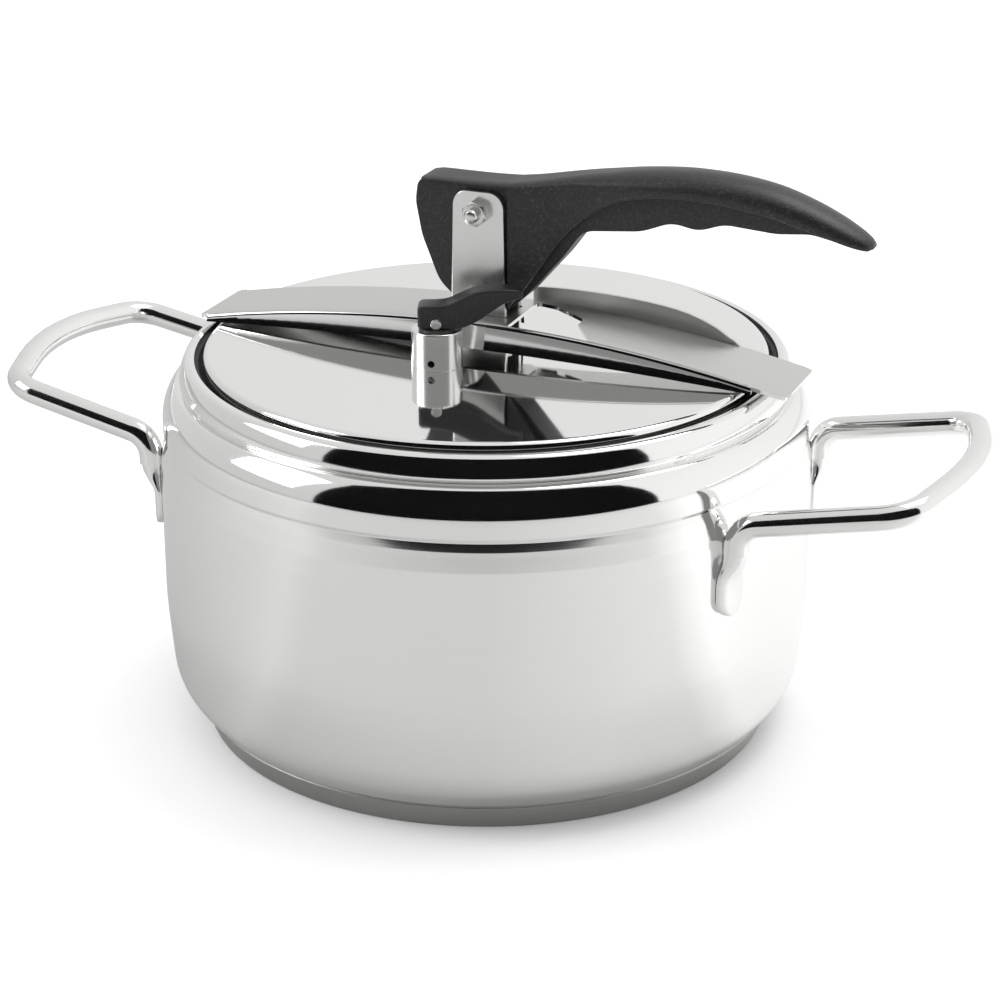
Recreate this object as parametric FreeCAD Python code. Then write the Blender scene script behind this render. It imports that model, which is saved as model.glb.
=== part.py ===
import FreeCAD, Part
import math
import os

# Stovetop pressure cooker with an inner lid, held shut by a cam lever on a bar.
# Millimetres. +Z is up, +X runs along the bar towards the lever grip.
# The origin is the centre of the base, on the surface it stands on.

os.makedirs("parts", exist_ok=True)
V = FreeCAD.Vector
Z_AXIS = V(0, 0, 1)

# Pot
wall = 1.2
pot_floor_z = 8.5
belly_r = 116.0
shoulder_r = 114.6
crease_r = 113.9
crease_z = 109.0
groove_r = 103.2
groove_z = 126.6
rim_r = 107.7
rim_top_z = 135.9
mouth_r = 102.7

# Sandwich base
cap_foot_r = 101.8
cap_top_r = 105.4
cap_h = 9.0
cap_t = 1.0
core_r = 100.0

# Handles, one bent rod each, pressed flat where it is welded on
rod_d = 8.6
foot_angle = 24.0
foot_w = 12.0
foot_t = 3.6
foot_wall_r = 115.4
foot_low_z = 71.0
foot_high_z = 94.0
knee_z = 103.8
knee_bend = 9.0
grip_x = 166.0
grip_half = 47.0
grip_z = 115.2
grip_bend = 13.0
grip_end_x = 179.5
grip_end_z = 119.5
grip_end_bend = 90.0

# Bar across the mouth
bar_half = 16.0
bar_t = 1.2
bar_top_z = 150.5
bar_arc_r = 520.0
bar_bend_x = 90.0
bar_end_slope = 0.19
bar_left_x = -105.5
bar_right_x = 115.0
skirt_end_x = 102.5
skirt_low_z = 141.3
skirt_arc_r = 1500.0

# Lid and gasket
lid_t = 1.5
lid_top_z = 137.5
lid_plateau_r = 99.4
lid_flange_r = 105.0
lid_flange_z = 131.0
gasket_in_r = 101.3
gasket_out_r = 105.4
gasket_top_z = 133.9

# Fork bracket and its pivot
ear_out = 7.4
ear_t = 1.8
ear_foot_half = 10.5
ear_top_half = 9.3
ear_top_z = 194.8
pivot_z = 187.5
bolt_r = 2.5
bolt_hole_r = 2.55
rivet_r = 2.0
rivet_x = 6.0
plate_r = 17.0

# Lever
head_half = 8.0
core_half = 5.2
handle_half = 10.2
recess_right = 11.2
recess_top = 9.9
bush_r = 4.0
nose_r = 36.7
shoe_half = 3.8

# Operating valve
valve_x = -7.2
valve_y = -27.0
valve_r = 8.8
valve_top_z = 150.8
valve_bore_r = 5.5
valve_seat_z = 138.6
valve_stud_r = 5.0
valve_stud_low_z = 124.5
steam_r = 2.0
vent_r = 1.25
vent_z = 140.4
stem_r = 2.3
stem_over_pin = 2.2
pin_z = 153.3
pin_r = 1.9
valve_lever_angle = 20.0
valve_lever_half = 4.7
tang_half = 1.6
tang_low_z = 146.0

# Safety plug behind the bar
safety_x = -5.0
safety_y = 30.0
safety_r = 5.5
safety_h = 5.0
safety_stud_r = 4.0


def save(shape, node):
    shape.exportStep("parts/" + node + ".step")


def offset_corners(corners, d):
    """Move an open run of corners sideways by d, to its left when d is positive."""
    moved = []
    count = len(corners)
    for i in range(count):
        x, z, r = corners[i]
        before = corners[max(i - 1, 0)]
        after = corners[min(i + 1, count - 1)]
        a = math.atan2(z - before[1], x - before[0]) if i > 0 else None
        b = math.atan2(after[1] - z, after[0] - x) if i < count - 1 else None
        a = b if a is None else a
        b = a if b is None else b
        half = math.atan2(math.sin(b - a), math.cos(b - a)) / 2.0
        mid = a + half + math.pi / 2.0
        reach = d / math.cos(half)
        bend = r - d if half > 0 else r + d
        moved.append((x + reach * math.cos(mid), z + reach * math.sin(mid), bend if r > 0 else 0))
    return moved


def run(corners, place):
    """Lines and tangent arcs through corners (x, z, radius), as edges put in space by place."""
    edges = []
    last = corners[0][:2]
    for i in range(1, len(corners) - 1):
        x, z, r = corners[i]
        a = math.atan2(z - corners[i - 1][1], x - corners[i - 1][0])
        b = math.atan2(corners[i + 1][1] - z, corners[i + 1][0] - x)
        turn = math.atan2(math.sin(b - a), math.cos(b - a))
        if r <= 0:
            edges.append(Part.makeLine(place(*last), place(x, z)))
            last = (x, z)
            continue
        cut = r * math.tan(abs(turn) / 2.0)
        start = (x - cut * math.cos(a), z - cut * math.sin(a))
        end = (x + cut * math.cos(b), z + cut * math.sin(b))
        side = a + math.copysign(math.pi / 2.0, turn)
        centre = (start[0] + r * math.cos(side), start[1] + r * math.sin(side))
        way = side + math.pi + turn / 2.0
        middle = (centre[0] + r * math.cos(way), centre[1] + r * math.sin(way))
        if math.hypot(start[0] - last[0], start[1] - last[1]) > 1e-6:
            edges.append(Part.makeLine(place(*last), place(*start)))
        edges.append(Part.Arc(place(*start), place(*middle), place(*end)).toShape())
        last = end
    edges.append(Part.makeLine(place(*last), place(*corners[-1][:2])))
    return edges


def upright(x, z):
    return V(x, 0, z)


def flat(x, y):
    return V(x, y, 0)


def face_of(edges):
    return Part.Face(Part.Wire(Part.__sortEdges__(edges)))


def outline(corners, place):
    """A closed face from corners; the run starts and ends halfway along the last side."""
    x = (corners[0][0] + corners[-1][0]) / 2.0
    z = (corners[0][1] + corners[-1][1]) / 2.0
    return face_of(run([(x, z, 0)] + corners + [(x, z, 0)], place))


def spun(corners):
    return outline(corners, upright).revolve(V(0, 0, 0), Z_AXIS, 360)


def spun_sheet(corners, d):
    """A pressed sheet spun about Z; corners lie on one face and d reaches the other."""
    other = offset_corners(corners, d)
    edges = run(corners, upright)
    edges += run(other, upright)
    edges.append(Part.makeLine(upright(*corners[0][:2]), upright(*other[0][:2])))
    edges.append(Part.makeLine(upright(*corners[-1][:2]), upright(*other[-1][:2])))
    return face_of(edges).revolve(V(0, 0, 0), Z_AXIS, 360)


def slab(corners, low_y, high_y):
    """An X-Z outline given thickness along Y."""
    face = outline(corners, upright)
    face.translate(V(0, low_y, 0))
    return face.extrude(V(0, high_y - low_y, 0))


def block(corners, low_z, high_z):
    """An X-Y outline given thickness along Z."""
    face = outline(corners, flat)
    face.translate(V(0, 0, low_z))
    return face.extrude(V(0, 0, high_z - low_z))


def cyl(r, low_z, high_z, x=0.0, y=0.0):
    return Part.makeCylinder(r, high_z - low_z, V(x, y, low_z))


def cross_cyl(r, low_y, high_y, x, z):
    return Part.makeCylinder(r, high_y - low_y, V(x, low_y, z), V(0, 1, 0))


def box(x0, x1, y0, y1, z0, z1):
    return Part.makeBox(x1 - x0, y1 - y0, z1 - z0, V(x0, y0, z0))


def hexagon(across, low, high):
    """A hexagonal prism along Z, standing on the origin's Z axis."""
    r = across / math.sqrt(3.0)
    turns = [math.radians(60 * i) for i in range(7)]
    points = [V(r * math.cos(turn), r * math.sin(turn), low) for turn in turns]
    return Part.Face(Part.makePolygon(points)).extrude(V(0, 0, high - low))


# Pot body: drawn sheet with a belly, a fine crease, a round shoulder, a groove and a curled rim
pot_run = [
    (0, pot_floor_z, 0),
    (105.0, pot_floor_z, 6),
    (113.6, 19.5, 20),
    (belly_r, 48.0, 150),
    (belly_r, 99.0, 70),
    (crease_r, crease_z, 0.6),
    (shoulder_r, 110.4, 1.4),
    (shoulder_r, 120.6, 16),
    (109.6, 126.0, 1.6),
    (groove_r, groove_z, 0.5),
    (108.5, 127.5, 1.3),
    (rim_r, 131.8, 14),
    (105.6, rim_top_z, 2.6),
    (mouth_r, rim_top_z - 0.5, 0),
]
save(spun_sheet(pot_run, wall), "pot_body")

# Base: an aluminium core under the pot, closed by a steel cap
core_top_r = core_r + 3.0
core = Part.makeCone(core_r, core_top_r, pot_floor_z - cap_t, V(0, 0, cap_t))
save(core, "base_core")
cap_run = [(0, 0, 0), (cap_foot_r, 0, 2.0), (cap_top_r, cap_h, 0)]
cap = spun_sheet(cap_run, cap_t)
save(cap.cut(core), "base_cap")


def bent(corners):
    """The centre line of a bent rod: straights and bends through corners (point, radius)."""
    edges = []
    last = corners[0][0]
    for i in range(1, len(corners) - 1):
        point, r = corners[i]
        a = (corners[i - 1][0] - point).normalize()
        b = (corners[i + 1][0] - point).normalize()
        half = a.getAngle(b) / 2.0
        cut = r / math.tan(half)
        start = point + a * cut
        end = point + b * cut
        inward = (a + b).normalize()
        middle = point + inward * (r / math.sin(half) - r)
        edges.append(Part.makeLine(last, start))
        edges.append(Part.Arc(start, middle, end).toShape())
        last = end
    edges.append(Part.makeLine(last, corners[-1][0]))
    return Part.Wire(edges)


def handle(side):
    """One rod handle; side is 1 at the lever grip end and -1 at the other."""
    rod_at = foot_wall_r + rod_d / 2.0
    flat_at = foot_wall_r + foot_t / 2.0
    knee_x = rod_at * math.cos(math.radians(foot_angle))
    knee_y = rod_at * math.sin(math.radians(foot_angle))
    half = [
        (V(knee_x, knee_y, foot_high_z), 0),
        (V(knee_x, knee_y, knee_z), knee_bend),
        (V(grip_x, grip_half, grip_z), grip_bend),
        (V(grip_end_x, 0, grip_end_z), grip_end_bend),
    ]
    other = [(V(p.x, -p.y, p.z), r) for p, r in reversed(half[:-1])]
    round_end = Part.Wire(Part.Circle(half[0][0], Z_AXIS, rod_d / 2.0).toShape())
    whole = bent(half + other).makePipeShell([round_end], True, False)
    for angle in (foot_angle, -foot_angle):
        oval = Part.Wire(Part.Ellipse(V(0, 0, 0), foot_w / 2.0, foot_t / 2.0).toShape())
        oval.translate(V(0, -flat_at, foot_high_z - 10.0))
        ring = Part.Wire(Part.Circle(V(0, -rod_at, foot_high_z), Z_AXIS, rod_d / 2.0).toShape())
        neck = Part.makeLoft([oval, ring], True)
        low_end = V(0, -foot_wall_r, foot_low_z + foot_w / 2.0)
        paddle = Part.makeCylinder(foot_w / 2.0, foot_t, low_end, V(0, -1, 0))
        tall = box(-foot_w / 2.0, foot_w / 2.0, -foot_wall_r - foot_t, -foot_wall_r,
                   low_end.z, foot_high_z - 10.0)
        foot = paddle.fuse([tall, neck])
        foot.rotate(V(0, 0, 0), Z_AXIS, 90 + angle)
        whole = whole.fuse(foot)
    whole = whole.removeSplitter()
    if side < 0:
        whole.rotate(V(0, 0, 0), Z_AXIS, 180)
    return whole


save(handle(1), "right_handle")
save(handle(-1), "left_handle")


# Bar: an arched web with down-turned skirts and one upturned wing beside the lever
def bar_z(x):
    arc = bar_top_z - min(abs(x), bar_bend_x) ** 2 / (2.0 * bar_arc_r)
    if abs(x) <= bar_bend_x:
        return arc
    return arc - (abs(x) - bar_bend_x) * bar_end_slope


def skirt_z(x):
    return skirt_low_z - x * x / (2.0 * skirt_arc_r)


def three_point(x0, x1, height, y):
    xm = (x0 + x1) / 2.0
    return Part.Arc(V(x0, y, height(x0)), V(xm, y, height(xm)), V(x1, y, height(x1))).toShape()


def web_line(shift):
    ends = [V(x, -bar_half, bar_z(x) + shift) for x in (bar_left_x, -bar_bend_x, bar_bend_x, bar_right_x)]
    arc = three_point(-bar_bend_x, bar_bend_x, lambda x: bar_z(x) + shift, -bar_half)
    return [Part.makeLine(ends[0], ends[1]), arc, Part.makeLine(ends[2], ends[3])], ends


top_edges, top_ends = web_line(0)
low_edges, low_ends = web_line(-bar_t)
web_sides = [Part.makeLine(top_ends[0], low_ends[0]), Part.makeLine(top_ends[3], low_ends[3])]
web = face_of(top_edges + low_edges + web_sides).extrude(V(0, 2 * bar_half, 0))
web_plan = [
    (-99.0, bar_half, 3),
    (bar_left_x, 6.0, 2),
    (bar_left_x, -10.0, 2),
    (-99.0, -bar_half, 3),
    (bar_right_x, -bar_half, 6),
    (bar_right_x, bar_half, 6),
]
web = web.common(block(web_plan, 100, 200))


def skirt(x0, x1, low_y):
    """The down-turned edge between x0 and x1."""
    def height(x):
        return bar_top_z - x * x / (2.0 * bar_arc_r) - 0.2
    top = three_point(x0, x1, height, low_y)
    low = three_point(x0, x1, skirt_z, low_y)
    ends = [Part.makeLine(V(x, low_y, height(x)), V(x, low_y, skirt_z(x))) for x in (x0, x1)]
    return face_of([top, low] + ends).extrude(V(0, bar_t, 0))


near_skirt = skirt(-skirt_end_x, skirt_end_x, -bar_half)
far_skirt = skirt(-skirt_end_x, 8.0, bar_half - bar_t)
wing_run = [
    (12.0, bar_z(12.0) - 0.6, 0),
    (12.0, 155.6, 2.5),
    (37.0, 156.1, 60),
    (66.0, 153.6, 30),
    (80.0, 148.8, 20),
    (89.0, bar_z(89.0) - 0.1, 0),
    (89.0, bar_z(89.0) - 0.9, 0),
    (50.0, bar_z(50.0) - 0.6, 300),
]
wing = slab(wing_run, bar_half - bar_t, bar_half)
bar = web.fuse([near_skirt, far_skirt, wing])
ear_slot = box(-10.9, 10.9, ear_out - ear_t - 0.3, ear_out + 0.3, 140, 160)
other_slot = box(-10.9, 10.9, -ear_out - 0.3, -ear_out + ear_t + 0.3, 140, 160)
window_plan = [
    (14.0, -bar_half + bar_t, 0),
    (44.0, -bar_half + bar_t, 0),
    (35.0, -1.5, 2),
    (35.0, 4.5, 2),
    (22.0, 12.4, 5),
    (14.0, 13.6, 2),
]
bar = bar.cut([ear_slot, other_slot, block(window_plan, 140, 160)])
save(bar.removeSplitter(), "bridge_bar")

# Lid: a raised plateau with a turned-down edge, holes for the valve and the safety plug
lid_run = [
    (0, lid_top_z, 0),
    (lid_plateau_r, lid_top_z, 2.2),
    (100.4, lid_flange_z, 1.0),
    (lid_flange_r, lid_flange_z, 0),
]
lid = spun_sheet(lid_run, -lid_t)
valve_hole = cyl(valve_stud_r + 0.1, 120, 140, valve_x, valve_y)
safety_hole = cyl(safety_stud_r + 0.1, 120, 140, safety_x, safety_y)
rivet_holes = [cyl(rivet_r + 0.02, 120, 140, x, 0) for x in (-rivet_x, rivet_x)]
save(lid.cut([valve_hole, safety_hole] + rivet_holes), "lid_disc")
gasket_run = [
    (gasket_in_r, lid_flange_z, 0),
    (gasket_out_r - 0.4, lid_flange_z, 0),
    (gasket_out_r, lid_flange_z + 0.6, 0),
    (gasket_out_r, 132.5, 1.0),
    (104.4, gasket_top_z, 0.5),
    (gasket_in_r, gasket_top_z, 0.5),
]
save(spun(gasket_run), "lid_gasket")

# Fork bracket riveted to the lid, with two ears that carry the pivot bolt
lid_under_z = lid_top_z - lid_t
ear_run = [
    (-ear_foot_half, lid_top_z, 0),
    (ear_foot_half, lid_top_z, 0),
    (ear_foot_half - 0.3, 150.0, 60),
    (ear_top_half, ear_top_z, 5.5),
    (-ear_top_half, ear_top_z, 5.5),
    (-ear_foot_half + 0.3, 150.0, 60),
]
ears = [slab(ear_run, -ear_out, -ear_out + ear_t), slab(ear_run, ear_out - ear_t, ear_out)]
foot = box(-ear_foot_half, ear_foot_half, -ear_out, ear_out, lid_top_z, lid_top_z + ear_t)
fork = foot.fuse(ears)
bolt_hole = cross_cyl(bolt_hole_r, -20, 20, 0, pivot_z)
fork = fork.cut([bolt_hole] + [cyl(rivet_r + 0.02, 130, 145, x, 0) for x in (-rivet_x, rivet_x)])
save(fork.removeSplitter(), "fork_bracket")
backing = cyl(plate_r, lid_under_z - 1.5, lid_under_z)
backing = backing.cut([cyl(rivet_r + 0.02, 130, 140, x, 0) for x in (-rivet_x, rivet_x)])
save(backing, "backing_plate")
rivets = []
for x in (-rivet_x, rivet_x):
    shank = cyl(rivet_r, lid_under_z - 1.5, lid_top_z + ear_t, x, 0)
    upper_head = cyl(3.6, lid_top_z + ear_t, lid_top_z + ear_t + 1.4, x, 0)
    lower_head = cyl(3.4, lid_under_z - 2.9, lid_under_z - 1.5, x, 0)
    rivets.append(shank.fuse([upper_head, lower_head]).removeSplitter())
save(Part.makeCompound(rivets), "bracket_rivets")

# Pivot bolt, its head behind the far ear and its nut on the near one
shank = cross_cyl(bolt_r, -ear_out - 5.6, ear_out, 0, pivot_z)
bolt_tip = Part.makeSphere(bolt_r, V(0, -ear_out - 5.6, pivot_z))
bolt_head = cross_cyl(4.4, ear_out, ear_out + 2.8, 0, pivot_z)
save(shank.fuse([bolt_tip, bolt_head]).removeSplitter(), "pivot_bolt")
nut = hexagon(8.0, 0, 4.0).cut(Part.makeCylinder(bolt_r, 4))
nut.rotate(V(0, 0, 0), Z_AXIS, 12)
nut.rotate(V(0, 0, 0), V(1, 0, 0), 90)
nut.translate(V(0, -ear_out, pivot_z))
save(nut, "pivot_nut")

# Lever, drawn around its pivot and then lifted to it
side_run = [
    (-24.3, 1.0, 12),
    (-23.2, 10.2, 4.5),
    (-8.0, 10.6, 60),
    (9.0, 10.9, 60),
    (38.0, 16.4, 120),
    (76.0, 22.2, 70),
    (104.0, 20.3, 60),
    (127.0, 12.6, 25),
    (140.0, 3.0, 2),
    (136.0, 0.6, 3),
]
core_low_run = [
    (118.0, 4.6, 15),
    (106.0, 3.4, 20),
    (88.0, 4.6, 14),
    (79.0, 1.4, 12),
    (69.5, 3.2, 12),
    (59.0, -1.0, 20),
    (38.0, -3.2, 8),
    (30.5, -13.5, 30),
    (17.0, -29.0, 14),
    (8.5, -nose_r, 4),
    (-4.5, -nose_r, 5),
    (-15.5, -27.0, 14),
    (-22.0, -11.0, 20),
]
cap_low_run = [
    (118.0, 7.2, 40),
    (104.0, 11.2, 60),
    (80.0, 14.0, 60),
    (56.0, 11.8, 20),
    (31.0, -5.6, 60),
    (18.0, -24.0, 20),
    (8.5, -nose_r + 1.0, 4),
    (-4.5, -nose_r + 1.0, 5),
    (-15.5, -27.0, 14),
    (-22.0, -11.0, 20),
]
core_slab = slab(side_run + core_low_run, -core_half, core_half)
cap_slab = slab(side_run + cap_low_run, -handle_half, handle_half)
plan_run = [
    (-30.0, head_half, 0),
    (-30.0, -head_half, 0),
    (34.0, -head_half, 60),
    (70.0, -handle_half, 90),
    (122.0, -8.6, 30),
    (141.0, -5.6, 5),
    (141.0, 5.6, 5),
    (122.0, 8.6, 30),
    (70.0, handle_half, 90),
    (34.0, head_half, 60),
]
cap_slab = cap_slab.common(block(plan_run, -60, 60))
for low_y in (-30.0, core_half):
    recess = box(-40, recess_right, low_y, low_y + 30.0 - core_half, -60, recess_top)
    cap_slab = cap_slab.cut(recess)
lever = core_slab.fuse(cap_slab)
lever = lever.cut(cross_cyl(bush_r, -20, 20, 0, 0))
shoe_pocket = box(-4.0, 8.0, -shoe_half, shoe_half, -60, -nose_r + 2.0)
shoe = lever.common(shoe_pocket)
lever = lever.cut(shoe_pocket).removeSplitter()
bush = cross_cyl(bush_r, -core_half - 0.3, core_half + 0.3, 0, 0)
bush = bush.cut(cross_cyl(bolt_hole_r, -20, 20, 0, 0))
for shape, node in ((lever, "lever"), (shoe, "cam_shoe"), (bush, "pivot_bush")):
    shape.translate(V(0, 0, pivot_z))
    save(shape, node)

# Operating valve: a drilled body with a stud through the lid, and what works inside it
body = cyl(valve_r, lid_top_z, valve_top_z).fuse(cyl(valve_stud_r, valve_stud_low_z, lid_top_z))
body = body.cut([cyl(valve_bore_r, valve_seat_z, valve_top_z), cyl(steam_r, 120, 140)])
vent_angle = math.radians(10)
vent_way = V(math.sin(vent_angle), -math.cos(vent_angle), 0)
vent = Part.makeCylinder(vent_r, 12, V(0, 0, vent_z), vent_way)
body = body.cut(vent).removeSplitter()
washer = cyl(8.0, lid_under_z - 1.2, lid_under_z).cut(cyl(valve_stud_r, 120, 140))
lock_nut = hexagon(15.0, lid_under_z - 6.2, lid_under_z - 1.2).cut(cyl(valve_stud_r, 120, 140))
strainer = cyl(valve_stud_r + 0.8, valve_stud_low_z - 2.0, valve_stud_low_z + 3.5)
strainer = strainer.cut(cyl(valve_stud_r, valve_stud_low_z - 1.2, valve_stud_low_z + 4))
for i in range(6):
    turn = math.pi * i / 3
    strainer = strainer.cut(cyl(0.6, 115, valve_stud_low_z, 3.0 * math.cos(turn), 3.0 * math.sin(turn)))
seal = cyl(3.4, valve_seat_z + 0.1, valve_seat_z + 2.2)
stem_top_z = pin_z + stem_over_pin
stem = cyl(5.0, valve_seat_z + 2.2, valve_seat_z + 3.4).fuse(cyl(stem_r, valve_seat_z + 3.4, stem_top_z))
tang = box(-stem_r, stem_r, -tang_half, tang_half, tang_low_z, 160)
stem_flats = cyl(stem_r, tang_low_z, stem_top_z).cut(tang)
stem = stem.cut(stem_flats)
cross_pin = cross_cyl(pin_r - 0.6, -valve_lever_half, valve_lever_half, 0, pin_z)
for start in (valve_lever_half - 0.7, -valve_lever_half - 0.3):
    cross_pin = cross_pin.fuse(cross_cyl(pin_r, start, start + 1.0, 0, pin_z))
stem = stem.cut(cross_cyl(pin_r - 0.6, -5, 5, 0, pin_z))
guide = cyl(valve_bore_r, valve_top_z - 1.6, valve_top_z).fuse(cyl(6.2, valve_top_z, valve_top_z + 0.5))
guide = guide.cut(cyl(stem_r + 0.05, 140, 160))


def spring(side, coil_r, low, high, turns):
    """A helical spring of square wire with open ends."""
    half = side / 2.0
    helix = Part.makeHelix((high - low - side) / turns, high - low - side, coil_r)
    helix.translate(V(0, 0, low + half))
    corners = [(-half, -half), (half, -half), (half, half), (-half, half), (-half, -half)]
    section = Part.makePolygon([V(coil_r + x, 0, low + half + z) for x, z in corners])
    return Part.Wire(helix).makePipeShell([section], True, True)


coil = spring(0.6, 3.6, valve_seat_z + 3.45, valve_top_z - 1.65, 4)

# Valve lever: a forked heel around the stem's flat and an S-shaped tail
heel_run = [
    (-6.3, -1.5, 1.2),
    (11.0, -1.5, 8),
    (24.0, 8.0, 12),
    (30.0, 9.2, 1.2),
    (30.0, 11.8, 1.4),
    (24.0, 12.6, 20),
    (13.5, 12.0, 10),
    (3.5, 6.8, 12),
    (-6.3, 6.4, 1.2),
]
thumb = slab(heel_run, -valve_lever_half, valve_lever_half)
tail_plan = [
    (-8.0, valve_lever_half, 0),
    (-8.0, -valve_lever_half, 0),
    (10.0, -valve_lever_half, 20),
    (31.0, -3.0, 2),
    (31.0, 3.0, 2),
    (10.0, valve_lever_half, 20),
]
thumb = thumb.common(block(tail_plan, -20, 20))
slot_half = tang_half + 0.1
thumb = thumb.cut(box(-8, 4.6, -slot_half, slot_half, -8, 4.4))
thumb = thumb.cut(cross_cyl(pin_r - 0.6 + 0.05, -20, 20, 0, 0))
for low_y in (-20.0, valve_lever_half - 0.75):
    high_y = low_y + 20.0 - valve_lever_half + 0.75
    thumb = thumb.cut(cross_cyl(pin_r + 0.05, low_y, high_y, 0, 0))
thumb.translate(V(0, 0, pin_z))
valve_parts = [
    (body, "valve_body"),
    (washer, "valve_washer"),
    (lock_nut, "valve_nut"),
    (strainer, "valve_strainer"),
    (guide, "valve_guide"),
    (seal, "valve_seal"),
    (stem, "valve_stem"),
    (cross_pin, "valve_pin"),
    (coil, "valve_spring"),
    (thumb, "valve_lever"),
]
for shape, node in valve_parts:
    if node in ("valve_stem", "valve_pin", "valve_lever"):
        shape.rotate(V(0, 0, 0), Z_AXIS, valve_lever_angle)
    shape.translate(V(valve_x, valve_y, 0))
    save(shape, node)

# Safety plug: a threaded shell behind the bar with a rubber stopper that blows out
shell_low_z = lid_under_z - 5.0
shell_top_z = lid_top_z + safety_h
shell = cyl(safety_r, lid_top_z, shell_top_z).fuse(cyl(safety_stud_r, shell_low_z, lid_top_z))
shell = shell.cut(cyl(2.4, 120, 160))
stopper = cyl(2.4, shell_low_z, shell_top_z).fuse(cyl(3.6, shell_top_z, shell_top_z + 1.2))
stopper = stopper.fuse(cyl(3.4, shell_low_z - 1.2, shell_low_z)).removeSplitter()
safety_nut = hexagon(12.0, lid_under_z - 4.0, lid_under_z).cut(cyl(safety_stud_r, 120, 150))
for shape, node in ((shell, "safety_shell"), (stopper, "safety_stopper"), (safety_nut, "safety_nut")):
    shape.translate(V(safety_x, safety_y, 0))
    save(shape, node)
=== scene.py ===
import math

import bmesh
import bpy
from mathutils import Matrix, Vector


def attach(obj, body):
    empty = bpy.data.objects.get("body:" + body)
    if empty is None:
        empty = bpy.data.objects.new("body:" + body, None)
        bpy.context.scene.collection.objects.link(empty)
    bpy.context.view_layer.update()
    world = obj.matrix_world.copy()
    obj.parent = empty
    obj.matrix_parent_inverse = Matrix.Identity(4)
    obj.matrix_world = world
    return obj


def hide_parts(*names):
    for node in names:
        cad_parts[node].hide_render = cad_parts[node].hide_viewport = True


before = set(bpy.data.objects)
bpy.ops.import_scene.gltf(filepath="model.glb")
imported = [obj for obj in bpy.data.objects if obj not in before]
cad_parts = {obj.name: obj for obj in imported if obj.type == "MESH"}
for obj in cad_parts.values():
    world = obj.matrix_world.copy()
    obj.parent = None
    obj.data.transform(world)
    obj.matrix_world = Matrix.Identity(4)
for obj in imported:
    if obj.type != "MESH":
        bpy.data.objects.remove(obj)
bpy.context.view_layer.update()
mm = 0.001
print("frame loaded:", len(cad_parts), "pieces")


def startFresh():
    if bpy.context.mode != "OBJECT":
        bpy.ops.object.mode_set(mode="OBJECT")
    bpy.ops.object.select_all(action="DESELECT")


def activate(piece):
    startFresh()
    piece.select_set(True)
    bpy.context.view_layer.objects.active = piece


def faceUp(piece):
    # turns an open skin over when its faces look down on the whole
    if sum(face.normal.z * face.area for face in piece.data.polygons) >= 0:
        return
    activate(piece)
    bpy.ops.object.mode_set(mode="EDIT")
    bpy.ops.mesh.select_all(action="SELECT")
    bpy.ops.mesh.flip_normals()
    bpy.ops.object.mode_set(mode="OBJECT")


def pull(x, y, z):
    # extrudes what is selected and moves it, in millimetres
    bpy.ops.mesh.extrude_region_move(TRANSFORM_OT_translate={"value": (x * mm, y * mm, z * mm)})


def startPoint(x, y, z):
    # one vertex, from a tiny plane closed up to its middle
    startFresh()
    bpy.ops.mesh.primitive_plane_add(size=mm, location=(x * mm, y * mm, z * mm))
    bpy.ops.object.transform_apply()
    bpy.ops.object.mode_set(mode="EDIT")
    bpy.ops.mesh.select_all(action="SELECT")
    bpy.ops.mesh.merge(type="CENTER")


def drawLine(points):
    # a chain of edges through points (x, y, z)
    startPoint(*points[0])
    for last, point in zip(points, points[1:]):
        pull(*[b - a for a, b in zip(last, point)])


def pick(test):
    # selects the vertices whose place, in millimetres, passes the test
    bpy.ops.mesh.select_mode(type="VERT")
    bpy.ops.mesh.select_all(action="DESELECT")
    mesh = bmesh.from_edit_mesh(bpy.context.edit_object.data)
    for vert in mesh.verts:
        if test(*(vert.co / mm)):
            vert.select = True
    mesh.select_flush(True)
    bmesh.update_edit_mesh(bpy.context.edit_object.data)


def closeUp(outward=True):
    bpy.ops.mesh.select_all(action="SELECT")
    bpy.ops.mesh.remove_doubles(threshold=0.004 * mm)
    if outward:
        bpy.ops.mesh.normals_make_consistent(inside=False)


def finishPiece(name, smooth=35):
    startedAs = bpy.context.edit_object or bpy.context.object
    bpy.ops.object.mode_set(mode="OBJECT")
    activate(startedAs)
    bpy.ops.object.transform_apply(location=True, rotation=True, scale=True)
    if smooth:
        bpy.ops.object.shade_smooth_by_angle(angle=math.radians(smooth))
    startedAs.name = name
    startedAs.data.name = name
    return startedAs


def modify(piece, kind, **values):
    # adds a modifier and applies it
    activate(piece)
    modifier = piece.modifiers.new(kind.title(), kind)
    for key, value in values.items():
        setattr(modifier, key, value)
    bpy.ops.object.modifier_apply(modifier=modifier.name)
    return piece


def joinPieces(pieces, name):
    startFresh()
    for piece in pieces:
        piece.select_set(True)
    bpy.context.view_layer.objects.active = pieces[0]
    bpy.ops.object.join()
    pieces[0].name = name
    pieces[0].data.name = name
    return pieces[0]


def cutAway(piece, cutter):
    modify(piece, "BOOLEAN", operation="DIFFERENCE", solver="EXACT", object=cutter)
    bpy.data.objects.remove(cutter)
    return piece


def turned(angle, x, y):
    c, s = math.cos(math.radians(angle)), math.sin(math.radians(angle))
    return x * c - y * s, x * s + y * c


def guarded(points, near=0.4, far=5.0):
    # two more points just inside the ends of each long stretch, so that its shading stays straight
    result = [points[0]]
    for before, here in zip(points, points[1:]):
        length = math.dist(before, here)
        if length > far:
            for share in (near / length, 1 - near / length):
                result.append(tuple(p + (q - p) * share for p, q in zip(before, here)))
        result.append(here)
    return result


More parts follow.
